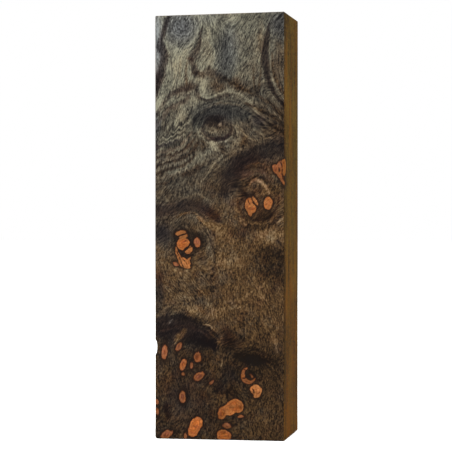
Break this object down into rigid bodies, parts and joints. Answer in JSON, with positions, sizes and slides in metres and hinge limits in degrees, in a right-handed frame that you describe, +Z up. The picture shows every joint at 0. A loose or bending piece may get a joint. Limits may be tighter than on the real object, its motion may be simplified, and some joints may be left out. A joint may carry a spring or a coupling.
{
  "type": "stabilized neem burl block",
  "caption": "Rectangular sawn block of stabilized neem burl on end, edges eased, a small bark pocket open on one edge; a blank to saw into knife scales or turn.",
  "frame": {"origin": "middle of the bottom end, on the surface the block stands on", "axes": "+Z up along the block's length, -Y out of the sanded show face, +X to the right of someone who looks at the show face"},
  "size_m": [0.04, 0.03, 0.1302],
  "materials": {
    "sanded_burl": "resin-stabilized burl, show face fine-sanded to a soft satin, the other faces left as sawn"
  },
  "bodies": {
    "root": {"burl_block": "sanded_burl"}
  },
  "joints": []
}
